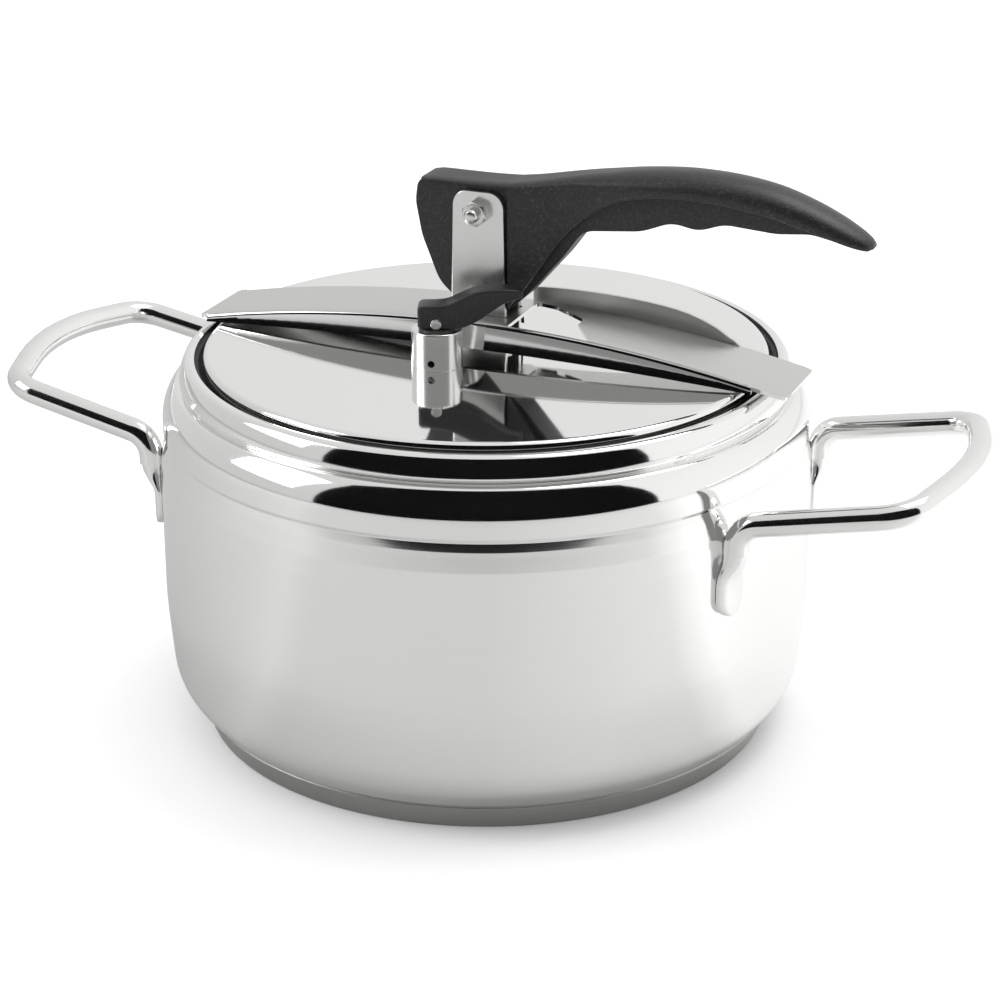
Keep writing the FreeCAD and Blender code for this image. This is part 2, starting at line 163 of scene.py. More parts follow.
def rounded(corners, step=9):
    # (a, b, radius) corners to points, with an arc of about step degrees a point at each radius
    points = [corners[0][:2]]
    for before, here, after in zip(corners, corners[1:], corners[2:]):
        a, b, radius = here
        inWay = math.atan2(b - before[1], a - before[0])
        outWay = math.atan2(after[1] - b, after[0] - a)
        turn = math.atan2(math.sin(outWay - inWay), math.cos(outWay - inWay))
        if radius <= 0 or abs(turn) < 0.002:
            points.append((a, b))
            continue
        reach = radius * math.tan(abs(turn) / 2)
        side = inWay + math.copysign(math.pi / 2, turn)
        startA = a - reach * math.cos(inWay)
        startB = b - reach * math.sin(inWay)
        midA = startA + radius * math.cos(side)
        midB = startB + radius * math.sin(side)
        count = max(2, math.ceil(abs(math.degrees(turn)) / step))
        for i in range(count + 1):
            way = side + math.pi + turn * i / count
            points.append((midA + radius * math.cos(way), midB + radius * math.sin(way)))
    points.append(corners[-1][:2])
    return points


def closedRun(corners, step=9):
    # the same for a closed outline, started halfway along its last side
    middle = [(corners[0][i] + corners[-1][i]) / 2 for i in (0, 1)]
    return rounded([(*middle, 0)] + corners + [(*middle, 0)], step)[:-1]


def spinRound(name, points, steps, closed=False, smooth=35, centre=(0, 0)):
    # an outline (radius, height) spun into a round piece about its own upright line
    line = [(r + centre[0], centre[1], z) for r, z in points]
    if closed:
        line.append(line[0])
    drawLine(line)
    bpy.ops.mesh.select_all(action="SELECT")
    bpy.ops.mesh.spin(steps=steps, angle=math.tau, axis=(0, 0, 1),
                      center=(centre[0] * mm, centre[1] * mm, 0))
    closeUp()
    return finishPiece(name, smooth)


def plate(name, points, low, high, axis="y", smooth=35):
    # a flat outline given its thickness along y (outline x, z) or along z (outline x, y)
    place = (lambda a, b: (a, low, b)) if axis == "y" else (lambda a, b: (a, b, low))
    drawLine([place(a, b) for a, b in points])
    bpy.ops.mesh.select_all(action="SELECT")
    bpy.ops.mesh.edge_face_add()
    pull(*((0, high - low, 0) if axis == "y" else (0, 0, high - low)))
    closeUp()
    return finishPiece(name, smooth)


def smoothBetween(rows, count):
    # rows of numbers, the first one rising, to count rows on smooth curves through them
    result = []
    low, high = rows[0][0], rows[-1][0]
    for i in range(count):
        x = low + (high - low) * i / (count - 1)
        k = max(j for j in range(len(rows) - 1) if rows[j][0] <= x + 1e-9)
        a, b = rows[k], rows[k + 1]
        before = rows[max(k - 1, 0)]
        after = rows[min(k + 2, len(rows) - 1)]
        t = (x - a[0]) / (b[0] - a[0])
        row = [x]
        for j in range(1, len(a)):
            slopeA = (b[j] - before[j]) / (b[0] - before[0]) * (b[0] - a[0])
            slopeB = (after[j] - a[j]) / (after[0] - a[0]) * (b[0] - a[0])
            row.append((2 * t**3 - 3 * t**2 + 1) * a[j] + (t**3 - 2 * t**2 + t) * slopeA
                       + (3 * t**2 - 2 * t**3) * b[j] + (t**3 - t**2) * slopeB)
        result.append(row)
    return result


def drawSections(name, sections, mirrored=False, smooth=35, capped=True):
    # edge chains drawn one after another and bridged into a skin
    startPoint(*sections[0][0])
    for section in sections:
        if section is not sections[0]:
            bpy.ops.mesh.select_all(action="DESELECT")
            bpy.ops.mesh.primitive_plane_add(size=mm, location=[c * mm for c in section[0]])
            bpy.ops.mesh.merge(type="CENTER")
        for last, point in zip(section, section[1:]):
            pull(*[b - a for a, b in zip(last, point)])
    bpy.ops.mesh.select_all(action="SELECT")
    bpy.ops.mesh.bridge_edge_loops()
    piece = finishPiece(name, 0)
    if mirrored:
        modify(piece, "MIRROR", use_axis=(False, True, False), merge_threshold=0.01 * mm)
    if capped:
        activate(piece)
        bpy.ops.object.mode_set(mode="EDIT")
        bpy.ops.mesh.select_all(action="SELECT")
        bpy.ops.mesh.fill_holes(sides=0)
        closeUp()
    return finishPiece(name, smooth)


def crownSection(x, top, low, half, across, down, edge, arcSteps=8, edgeSteps=3):
    # half of a moulded section: under its middle, round the lower edge, up the side, over the crown
    points = [(x, 0, low), (x, -half + edge, low)]
    for i in range(1, edgeSteps + 1):
        way = math.pi / 2 * i / edgeSteps
        points.append((x, -half + edge - edge * math.sin(way), low + edge - edge * math.cos(way)))
    for i in range(arcSteps + 1):
        way = math.pi / 2 * i / arcSteps
        points.append((x, -half + across - across * math.cos(way), top - down + down * math.sin(way)))
    points.append((x, 0, top))
    return points


def bendRod(name, corners, radius, sides=24, turnStart=0.0):
    # a ring carried along straight runs and spun round each bend
    startFresh()
    bpy.ops.mesh.primitive_circle_add(vertices=sides, radius=radius * mm, location=corners[0][0] * mm,
                                      rotation=(0, 0, math.radians(turnStart)))
    bpy.ops.object.transform_apply()
    bpy.ops.object.mode_set(mode="EDIT")
    bpy.ops.mesh.select_all(action="SELECT")
    last = corners[0][0]
    for (before, _), (here, bend), (after, _) in zip(corners, corners[1:], corners[2:]):
        back = (before - here).normalized()
        ahead = (after - here).normalized()
        half = back.angle(ahead) / 2
        start = here + back * (bend / math.tan(half))
        end = here + ahead * (bend / math.tan(half))
        centre = here + (back + ahead).normalized() * (bend / math.sin(half))
        turn = math.pi - 2 * half
        pull(*(start - last))
        bpy.ops.mesh.spin(steps=max(4, round(math.degrees(turn) / 5)), angle=-turn,
                          center=centre * mm, axis=(-back).cross(ahead).normalized())
        last = end
    pull(*(corners[-1][0] - last))
    return finishPiece(name, 0)


print("shaping helpers ready")


def newMaterial(name, colour, metallic, roughness, coat=0.0, specular=0.5):
    material = bpy.data.materials.new(name)
    material.use_nodes = True
    shader = material.node_tree.nodes["Principled BSDF"]
    shader.inputs["Base Color"].default_value = (*colour, 1)
    shader.inputs["Metallic"].default_value = metallic
    shader.inputs["Roughness"].default_value = roughness
    shader.inputs["Coat Weight"].default_value = coat
    shader.inputs["Coat Roughness"].default_value = 0.12
    shader.inputs["Specular IOR Level"].default_value = specular
    return material, material.node_tree, shader


def addNode(tree, kind, links=(), **values):
    # links: (input name, socket to read)
    node = tree.nodes.new(kind)
    for key, value in values.items():
        if key in node.inputs:
            node.inputs[key].default_value = value
        else:
            setattr(node, key, value)
    for name, source in links:
        tree.links.new(source, node.inputs[name])
    return node


def makeRubbedGroup():
    # fine drawn marks and wide handling smudges; puts out a roughness and a height
    group = bpy.data.node_groups.new("rubbedMetal", "ShaderNodeTree")
    for name, kind in (("Vector", "Vector"), ("Stretch", "Vector"), ("Marks", "Float"),
                       ("Smudges", "Float"),
                       ("Base Roughness", "Float")):
        group.interface.new_socket(name, in_out="INPUT", socket_type="NodeSocket" + kind)
    for name in ("Roughness", "Height"):
        group.interface.new_socket(name, in_out="OUTPUT", socket_type="NodeSocketFloat")
    given = group.nodes.new("NodeGroupInput")
    result = group.nodes.new("NodeGroupOutput")
    scaled = addNode(group, "ShaderNodeVectorMath", operation="MULTIPLY")
    group.links.new(given.outputs["Vector"], scaled.inputs[0])
    group.links.new(given.outputs["Stretch"], scaled.inputs[1])
    marks = addNode(group, "ShaderNodeTexNoise", [("Vector", scaled.outputs[0])], Scale=1.0, Detail=4.0,
                    Roughness=0.6)
    smudge = addNode(group, "ShaderNodeTexNoise", [("Vector", given.outputs["Vector"])],
                     Scale=22.0, Detail=3.0, Roughness=0.55)
    marksAmount = addNode(group, "ShaderNodeMath", operation="MULTIPLY_ADD")
    group.links.new(marks.outputs["Fac"], marksAmount.inputs[0])
    group.links.new(given.outputs["Marks"], marksAmount.inputs[1])
    group.links.new(given.outputs["Base Roughness"], marksAmount.inputs[2])
    both = addNode(group, "ShaderNodeMath", operation="MULTIPLY_ADD")
    group.links.new(smudge.outputs["Fac"], both.inputs[0])
    group.links.new(given.outputs["Smudges"], both.inputs[1])
    group.links.new(marksAmount.outputs[0], both.inputs[2])
    group.links.new(both.outputs[0], result.inputs["Roughness"])
    group.links.new(marks.outputs["Fac"], result.inputs["Height"])
    return group


rubbedGroup = makeRubbedGroup()


def steel(name, look):
    # one metal finish; look holds its tone, its polish and the run of its marks
    material, tree, shader = newMaterial(name, look["colour"], 1.0, look["roughness"])
    place = addNode(tree, "ShaderNodeTexCoord")
    rubbed = addNode(tree, "ShaderNodeGroup", node_tree=rubbedGroup)
    tree.links.new(place.outputs["Object"], rubbed.inputs["Vector"])
    rubbed.inputs["Stretch"].default_value = look["stretch"]
    rubbed.inputs["Marks"].default_value = look["marks"]
    rubbed.inputs["Smudges"].default_value = look["smudges"]
    rubbed.inputs["Base Roughness"].default_value = look["roughness"]
    tree.links.new(rubbed.outputs["Roughness"], shader.inputs["Roughness"])
    bump = addNode(tree, "ShaderNodeBump", [("Height", rubbed.outputs["Height"])],
                   Strength=look["bump"], Distance=0.0002)
    tree.links.new(bump.outputs["Normal"], shader.inputs["Normal"])
    tone = addNode(tree, "ShaderNodeMapRange", [("Value", rubbed.outputs["Height"])])
    tone.inputs["To Min"].default_value = look["shade"]
    tone.inputs["To Max"].default_value = 1.0
    mixed = addNode(tree, "ShaderNodeMix", data_type="RGBA", blend_type="MULTIPLY")
    mixed.inputs["Factor"].default_value = 1.0
    mixed.inputs[6].default_value = (*look["colour"], 1)
    tree.links.new(tone.outputs["Result"], mixed.inputs[7])
    tree.links.new(mixed.outputs[2], shader.inputs["Base Color"])
    return material, tree, shader, rubbed


steelLooks = {
    "mirrorSteel": dict(colour=(0.93, 0.93, 0.92), roughness=0.02, stretch=(60, 60, 60), marks=0.02,
                        smudges=0.05, bump=0.01, shade=0.97),
    "rodSteel": dict(colour=(0.90, 0.90, 0.89), roughness=0.05, stretch=(90, 90, 90), marks=0.04,
                     smudges=0.06, bump=0.02, shade=0.95),
    "satinSheet": dict(colour=(0.66, 0.66, 0.65), roughness=0.22, stretch=(30, 900, 900), marks=0.12,
                       smudges=0.06, bump=0.05, shade=0.93),
    "bracketSheet": dict(colour=(0.84, 0.84, 0.83), roughness=0.16, stretch=(700, 700, 40), marks=0.10,
                         smudges=0.06, bump=0.04, shade=0.94),
    "turnedSteel": dict(colour=(0.86, 0.86, 0.85), roughness=0.14, stretch=(30, 30, 1500), marks=0.12,
                        smudges=0.05, bump=0.05, shade=0.94),
    "groundSteel": dict(colour=(0.50, 0.50, 0.49), roughness=0.28, stretch=(24, 24, 1400), marks=0.14,
                        smudges=0.08, bump=0.06, shade=0.90),
    "platedSteel": dict(colour=(0.80, 0.80, 0.79), roughness=0.12, stretch=(500, 500, 500), marks=0.12,
                        smudges=0.06, bump=0.05, shade=0.90),
    "coreMetal": dict(colour=(0.74, 0.74, 0.75), roughness=0.40, stretch=(200, 200, 200), marks=0.12,
                      smudges=0.06, bump=0.05, shade=0.92),
}
finishes = {name: steel(name, look)[0] for name, look in steelLooks.items()}


def potSteel():
    # mirror polish on the rim and shoulder, a softer polish on the belly below the step
    look = dict(steelLooks["mirrorSteel"], roughness=0.025, stretch=(26, 26, 900), marks=0.03, bump=0.008)
    bellyTop, bellyBlend, bellyRoughness = 0.1035, 0.002, 0.05
    material, tree, shader, rubbed = steel("potSteel", look)
    place = addNode(tree, "ShaderNodeTexCoord")
    split = addNode(tree, "ShaderNodeSeparateXYZ", [("Vector", place.outputs["Object"])])
    belly = addNode(tree, "ShaderNodeMapRange", [("Value", split.outputs["Z"])])
    belly.inputs["From Min"].default_value = bellyTop
    belly.inputs["From Max"].default_value = bellyTop + bellyBlend
    belly.inputs["To Min"].default_value = bellyRoughness
    belly.inputs["To Max"].default_value = 0.0
    total = addNode(tree, "ShaderNodeMath", operation="ADD")
    tree.links.new(rubbed.outputs["Roughness"], total.inputs[0])
    tree.links.new(belly.outputs["Result"], total.inputs[1])
    tree.links.new(total.outputs[0], shader.inputs["Roughness"])
    return material


def moulding(name, look):
    # moulded resin or rubber: a fine grain, pale specks, and a smoother stretch along the grip
    material, tree, shader = newMaterial(name, look["colour"], 0.0, look["roughness"], look["coat"])
    place = addNode(tree, "ShaderNodeTexCoord")
    grain = addNode(tree, "ShaderNodeTexNoise", [("Vector", place.outputs["Object"])],
                    Scale=look["grain"], Detail=5.0, Roughness=0.7)
    cloud = addNode(tree, "ShaderNodeTexNoise", [("Vector", place.outputs["Object"])], Scale=35.0,
                    Detail=3.0)
    speck = addNode(tree, "ShaderNodeMapRange", [("Value", grain.outputs["Fac"])])
    speck.inputs["From Min"].default_value = 0.52
    speck.inputs["From Max"].default_value = 0.72
    mixed = addNode(tree, "ShaderNodeMix", [("Factor", speck.outputs["Result"])], data_type="RGBA")
    mixed.inputs[6].default_value = (*look["colour"], 1)
    mixed.inputs[7].default_value = (*look["speck"], 1)
    tree.links.new(mixed.outputs[2], shader.inputs["Base Color"])
    split = addNode(tree, "ShaderNodeSeparateXYZ", [("Vector", place.outputs["Object"])])
    along = addNode(tree, "ShaderNodeMapRange", [("Value", split.outputs["X"])])
    along.inputs["From Min"].default_value = look["smoothFrom"]
    along.inputs["From Max"].default_value = look["smoothTo"]
    along.inputs["To Min"].default_value = look["roughness"]
    along.inputs["To Max"].default_value = look["smoothRoughness"]
    uneven = addNode(tree, "ShaderNodeMath", operation="MULTIPLY_ADD")
    tree.links.new(cloud.outputs["Fac"], uneven.inputs[0])
    uneven.inputs[1].default_value = 0.12
    tree.links.new(along.outputs["Result"], uneven.inputs[2])
    tree.links.new(uneven.outputs[0], shader.inputs["Roughness"])
    bump = addNode(tree, "ShaderNodeBump", [("Height", grain.outputs["Fac"])],
                   Strength=look["bump"], Distance=0.0004)
    tree.links.new(bump.outputs["Normal"], shader.inputs["Normal"])
    return material


mouldingLooks = {
    "blackResin": dict(colour=(0.012, 0.012, 0.012), speck=(0.05, 0.05, 0.05), roughness=0.36, coat=0.0,
                       grain=1300.0,
                       bump=0.35, smoothFrom=0.03, smoothTo=0.06, smoothRoughness=0.27),
    "smallLeverResin": dict(colour=(0.014, 0.014, 0.014), speck=(0.035, 0.035, 0.035), roughness=0.30,
                            coat=0.0,
                            grain=1300.0, bump=0.15, smoothFrom=0.0, smoothTo=0.02, smoothRoughness=0.26),
    "guideResin": dict(colour=(0.03, 0.028, 0.026), speck=(0.07, 0.06, 0.05), roughness=0.40, coat=0.0,
                       grain=900.0,
                       bump=0.2, smoothFrom=0.0, smoothTo=0.02, smoothRoughness=0.40),
    "blackRubber": dict(colour=(0.02, 0.02, 0.02), speck=(0.04, 0.04, 0.04), roughness=0.62, coat=0.0,
                        grain=700.0,
                        bump=0.25, smoothFrom=0.0, smoothTo=0.02, smoothRoughness=0.62),
}
finishes["potSteel"] = potSteel()
for name, look in mouldingLooks.items():
    finishes[name] = moulding(name, look)
print("finishes ready:", len(finishes))


def dress(piece, finish):
    piece.data.materials.clear()
    piece.data.materials.append(finishes[finish])


def place(piece, body, finish, slot, *nodes):
    # puts a finished piece in the model, standing for its CAD nodes
    dress(piece, finish)
    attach(piece, body)
    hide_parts(*nodes)
    return piece


pot = dict(wall=1.2, steps=200, outer=[
    (0, 8.5, 0), (105.0, 8.5, 6), (113.6, 19.5, 20), (116.0, 48.0, 150), (116.0, 99.0, 70),
    (113.9, 109.0, 0.6),
    (114.6, 110.4, 1.4), (114.6, 120.6, 16), (109.6, 126.0, 1.6), (103.2, 126.6, 0.5), (108.5, 127.5, 1.3),
    (107.7, 131.8, 14), (105.6, 135.9, 2.6), (102.7, 135.4, 0)])
shell = spinRound("potShell", guarded(rounded(pot["outer"], 6)), pot["steps"])
modify(shell, "SOLIDIFY", thickness=pot["wall"] * mm, offset=-1, use_even_offset=True)
activate(shell)
bpy.ops.object.shade_smooth_by_angle(angle=math.radians(35))
place(shell, "pot", "potSteel", "polished_steel", "pot_body")
print("pot shell")

base = dict(steps=200, wall=1.0, outer=[(0, 0, 0), (101.8, 0, 1.6), (105.4, 9.0, 0.5), (104.5, 9.3, 0)])
baseCap = spinRound("baseDisc", guarded(rounded(base["outer"])), base["steps"])
modify(baseCap, "SOLIDIFY", thickness=base["wall"] * mm, offset=-1, use_even_offset=True)
place(baseCap, "pot", "groundSteel", "satin_steel", "base_cap")
print("base disc")


rod = dict(radius=4.3, angle=24.0, wallRadius=115.4, flat=3.6, width=12.0, footLow=71.0, footHigh=94.0,
           kneeZ=103.8, kneeBend=9.0, gripX=166.0, gripHalf=47.0, gripZ=115.2, gripBend=13.0,
           endX=179.5, endZ=119.5, endBend=90.0)


def footSection(z, middle, thick, wide, square):
    # half of a flattened ring, from its outer face round to the wall
    points = []
    for i in range(13):
        way = math.pi * i / 12
        c, s = math.cos(way), math.sin(way)
        x = middle + thick * math.copysign(abs(c) ** square, c)
        points.append((x, -wide * abs(s) ** square if 0 < i < 12 else 0.0, z))
    return points


def rodFoot(name):
    # the pressed end of the rod, from its round neck down to a rounded tip
    at, flat, wide = rod["wallRadius"], rod["flat"] / 2, rod["width"] / 2
    low = rod["footLow"] + wide
    rows = [(rod["footHigh"], at + 4, 4, 4, 1.0), (91, at + 3.7, 3.7, 4.2, 0.98),
            (88, at + 2.9, 2.9, 5.0, 0.92),
            (85.5, at + 2.1, 2.1, 5.7, 0.86), (83, at + flat, flat, wide, 0.8),
            (low, at + flat, flat, wide, 0.8)]
    for way in (15, 30, 45, 60, 72, 82, 88):
        s, c = math.sin(math.radians(way)), math.cos(math.radians(way))
        rows.append((low - wide * s, at + flat, flat * (0.55 + 0.45 * c ** 0.3), wide * c, 0.8))
    return drawSections(name, [footSection(*row) for row in rows], mirrored=True, smooth=0)


def rodHandle(name, side):
    kneeX, kneeY = turned(rod["angle"], rod["wallRadius"] + rod["radius"], 0)
    half = [(Vector((kneeX, kneeY, rod["footHigh"])), 0),
            (Vector((kneeX, kneeY, rod["kneeZ"])), rod["kneeBend"]),
            (Vector((rod["gripX"], rod["gripHalf"], rod["gripZ"])), rod["gripBend"]),
            (Vector((rod["endX"], 0, rod["endZ"])), rod["endBend"])]
    other = [(Vector((p.x, -p.y, p.z)), r) for p, r in reversed(half[:-1])]
    parts = [bendRod(name, half + other, rod["radius"], turnStart=rod["angle"])]
    for angle in (rod["angle"], -rod["angle"]):
        foot = rodFoot("foot")
        activate(foot)
        foot.rotation_euler.z = math.radians(angle)
        bpy.ops.object.transform_apply()
        parts.append(foot)
    handle = joinPieces(parts, name)
    activate(handle)
    bpy.ops.object.mode_set(mode="EDIT")
    bpy.ops.mesh.select_all(action="SELECT")
    bpy.ops.mesh.remove_doubles(threshold=0.05 * mm)
    bpy.ops.mesh.select_all(action="DESELECT")
    bpy.ops.mesh.select_interior_faces()
    bpy.ops.mesh.delete(type="FACE")
    closeUp()
    handle = finishPiece(name, 40)
    if side < 0:
        handle.rotation_euler.z = math.pi
        activate(handle)
        bpy.ops.object.transform_apply()
    return handle


for side, name, node in ((1, "rightHandleRod", "right_handle"), (-1, "leftHandleRod", "left_handle")):
    place(rodHandle(name, side), "pot", "rodSteel", "polished_steel", node)
print("handles")


bar = dict(top=150.5, arc=520.0, bendX=90.0, endSlope=0.19, left=-105.5, right=115.0, half=16.0, sheet=1.2,
           bend=1.5, splay=0.15, skirtEnd=102.5, skirtLow=141.3, skirtArc=1500.0, farSkirtEnd=8.0,
           wingFrom=12.0, wingTo=89.0, wingSteps=78, uprightNormal=0.8,
           slotHalf=10.9, slotLow=5.3, slotHigh=7.7)
wingHeights = [[12.0, 4.9], [16.0, 5.6], [37.0, 6.9], [58.0, 7.4], [70.0, 6.8], [80.0, 4.4], [86.0, 1.6],
               [89.0, 0.1]]


def barZ(x):
    arc = bar["top"] - min(abs(x), bar["bendX"]) ** 2 / (2 * bar["arc"])
    return arc - max(abs(x) - bar["bendX"], 0) * bar["endSlope"]


def skirtZ(x):
    return bar["skirtLow"] - x * x / (2 * bar["skirtArc"])


def wingZ(x):
    rows = smoothBetween(wingHeights, bar["wingSteps"])
    return min(rows, key=lambda row: abs(row[0] - x))[1]


def skirtSection(x, side):
    # from the web's edge round the bend and down to the skirt's low edge
    z, r = barZ(x), bar["bend"]
    ways = [math.radians(w) for w in (0, 22, 45, 68, 90)]
    points = [(x, side * (bar["half"] - r + r * math.sin(w)), z - r + r * math.cos(w)) for w in ways]
    low = skirtZ(x)
    points += [(x, side * bar["half"], z - r - 0.4),
               (x, side * (bar["half"] + bar["splay"] * (z - low)), low)]
    return points


def edgeSection(x, side):
    return [(x, side * (bar["half"] - bar["bend"]), barZ(x)), (x, side * bar["half"], barZ(x))]


def wingSection(x, side):
    z, high, inner = barZ(x), wingZ(x), bar["half"] - bar["bend"]
    rise = min(0.3, high / 2)
    points = [(x, inner, z), (x, inner + 0.2, z + 0.08), (x, inner + 0.3, z + rise)]
    return points + [(x, inner + 0.3, z + high)]


def webSection(x, side):
    inner = bar["half"] - bar["bend"]
    return [(x, inner * i / 4.0, barZ(x)) for i in range(-4, 5)]


def barStrip(section, low, high, side=1):
    xs = [x for x in barStations if low - 0.01 <= x <= high + 0.01]
    return drawSections("strip", [section(x, side) for x in xs], smooth=0, capped=False)


barStations = sorted({bar["left"], bar["right"], -bar["skirtEnd"], bar["skirtEnd"], bar["farSkirtEnd"],
                      bar["wingFrom"], bar["wingTo"], -90.4, 90.4, 86.5, 14.0}
                     | {-90.0 + 5.0 * i for i in range(37)})
strips = [
    barStrip(webSection, bar["left"], bar["right"]),
    barStrip(skirtSection, -bar["skirtEnd"], bar["skirtEnd"], -1),
    barStrip(skirtSection, -bar["skirtEnd"], bar["farSkirtEnd"], 1),
    barStrip(wingSection, bar["wingFrom"], bar["wingTo"]),
    barStrip(edgeSection, bar["left"], -bar["skirtEnd"], -1),
    barStrip(edgeSection, bar["skirtEnd"], bar["right"], -1),
    barStrip(edgeSection, bar["left"], -bar["skirtEnd"], 1),
    barStrip(edgeSection, bar["farSkirtEnd"], bar["wingFrom"], 1),
    barStrip(edgeSection, bar["wingTo"], bar["right"], 1),
]
crossBar = joinPieces(strips, "crossBar")
activate(crossBar)
bpy.ops.object.mode_set(mode="EDIT")
closeUp()
pick(lambda x, y, z: x > bar["right"] - 0.1 and abs(y) > bar["half"] - 0.1)
bpy.ops.mesh.bevel(offset=5.5 * mm, segments=6, affect="VERTICES")
pick(lambda x, y, z: x < bar["left"] + 0.1 and abs(y) > bar["half"] - 0.1)
bpy.ops.mesh.bevel(offset=4.5 * mm, segments=3, affect="VERTICES")
crossBar = finishPiece("crossBar", 0)
faceUp(crossBar)
modify(crossBar, "SOLIDIFY", thickness=bar["sheet"] * mm, offset=-1, use_even_offset=True)
windowPlan = [(14.0, -14.8, 0.5), (44.0, -14.8, 0.5), (35.0, -1.5, 2), (35.0, 4.5, 2), (22.0, 12.4, 5),
              (14.0, 13.6, 2)]
cutAway(crossBar, plate("windowCutter", closedRun(windowPlan), 143, 160, axis="z", smooth=0))
for side in (1, -1):
    ends = sorted((side * bar["slotLow"], side * bar["slotHigh"]))
    corners = [(-bar["slotHalf"], ends[0]), (bar["slotHalf"], ends[0]), (bar["slotHalf"], ends[1]),
               (-bar["slotHalf"], ends[1])]
    cutAway(crossBar, plate("slotCutter", corners, 140, 160, axis="z", smooth=0))
activate(crossBar)
bpy.ops.object.shade_smooth_by_angle(angle=math.radians(30))
place(crossBar, "bar", "satinSheet", "satin_steel", "bridge_bar")
crossBar.data.materials.append(finishes["mirrorSteel"])
for face in crossBar.data.polygons:
    upright = abs(face.normal.z) < bar["uprightNormal"]
    underWeb = face.center.z < barZ(face.center.x / mm) * mm
    face.material_index = 1 if upright and underWeb else 0
print("bar")


lid = dict(sheet=1.5, steps=200, top=[(0, 137.5, 0), (99.4, 137.5, 2.2), (100.4, 131.0, 1.0),
                                      (105.0, 131.0, 0)])
lidDisc = spinRound("lidDisc", guarded(rounded(lid["top"])), lid["steps"])
faceUp(lidDisc)
modify(lidDisc, "SOLIDIFY", thickness=lid["sheet"] * mm, offset=-1, use_even_offset=True)
place(lidDisc, "lid", "mirrorSteel", "polished_steel", "lid_disc")

bracket = dict(out=7.4, sheet=1.8, footHalf=10.5, topHalf=9.3, low=137.5, top=194.8, pivotZ=187.5)
earRun = [(bracket["footHalf"], bracket["low"], 0), (bracket["footHalf"] - 0.3, 150.0, 60),
          (bracket["topHalf"], bracket["top"], 5.5), (-bracket["topHalf"], bracket["top"], 5.5),
          (-bracket["footHalf"] + 0.3, 150.0, 60), (-bracket["footHalf"], bracket["low"], 0)]
earPoints = rounded(earRun, 6)
bracketFoot = [(-bracket["footHalf"], -bracket["out"] + 0.3), (bracket["footHalf"], -bracket["out"] + 0.3),
               (bracket["footHalf"], bracket["out"] - 0.3), (-bracket["footHalf"], bracket["out"] - 0.3)]
fork = joinPieces([
    plate("ear", earPoints, -bracket["out"], -bracket["out"] + bracket["sheet"]),
    plate("ear", earPoints, bracket["out"] - bracket["sheet"], bracket["out"]),
    plate("foot", bracketFoot, bracket["low"], bracket["low"] + bracket["sheet"], axis="z"),
], "forkBracket")
modify(fork, "BEVEL", width=0.3 * mm, segments=2, limit_method="ANGLE", angle_limit=math.radians(50))
activate(fork)
bpy.ops.object.shade_smooth_by_angle(angle=math.radians(30))
place(fork, "lid", "bracketSheet", "satin_steel", "fork_bracket")

bolt = dict(radius=2.5, nutRadius=4.62, nutDeep=4.0, tipOut=6.6, headRadius=4.4, headDeep=2.8)


def layAcross(piece, y):
    # turns a piece spun about the upright line so that its top points to -Y, at the pivot
    activate(piece)
    piece.rotation_euler.x = math.pi / 2
    piece.location = (0, y * mm, bracket["pivotZ"] * mm)
    bpy.ops.object.transform_apply()
    return piece


startFresh()
bpy.ops.mesh.primitive_cylinder_add(vertices=6, radius=bolt["nutRadius"] * mm, depth=bolt["nutDeep"] * mm,
                                    location=(0, 0, bolt["nutDeep"] / 2 * mm),
                                    rotation=(0, 0, math.radians(12)))
nut = finishPiece("pivotNut", 0)
nutRound = spinRound("nutRound", closedRun([(0.01, -0.01, 0), (4.75, -0.01, 0), (4.75, 3.1, 0),
                                            (3.9, 4.01, 0),
                                            (0.01, 4.01, 0)]), 48, closed=True, smooth=0)
modify(nut, "BOOLEAN", operation="INTERSECT", solver="EXACT", object=nutRound)
bpy.data.objects.remove(nutRound)
modify(nut, "BEVEL", width=0.18 * mm, segments=2, limit_method="ANGLE", angle_limit=math.radians(30))
activate(nut)
bpy.ops.object.shade_smooth_by_angle(angle=math.radians(30))
place(layAcross(nut, -bracket["out"]), "lid", "platedSteel", "zinc_steel", "pivot_nut")
boltRun = [(0.0, -bolt["headDeep"] - 2 * bracket["out"], 0),
           (bolt["headRadius"], -bolt["headDeep"] - 2 * bracket["out"], 0.8),
           (bolt["headRadius"], -2 * bracket["out"], 0.2), (bolt["radius"], -2 * bracket["out"], 0.1),
           (bolt["radius"], bolt["tipOut"], 0.5), (1.9, bolt["tipOut"] + 0.9, 0.4),
           (0.0, bolt["tipOut"] + 1.2, 0)]
boltPiece = spinRound("pivotBolt", rounded(boltRun, 12), 48)
place(layAcross(boltPiece, -bracket["out"]), "lid", "platedSteel", "zinc_steel", "pivot_bolt")

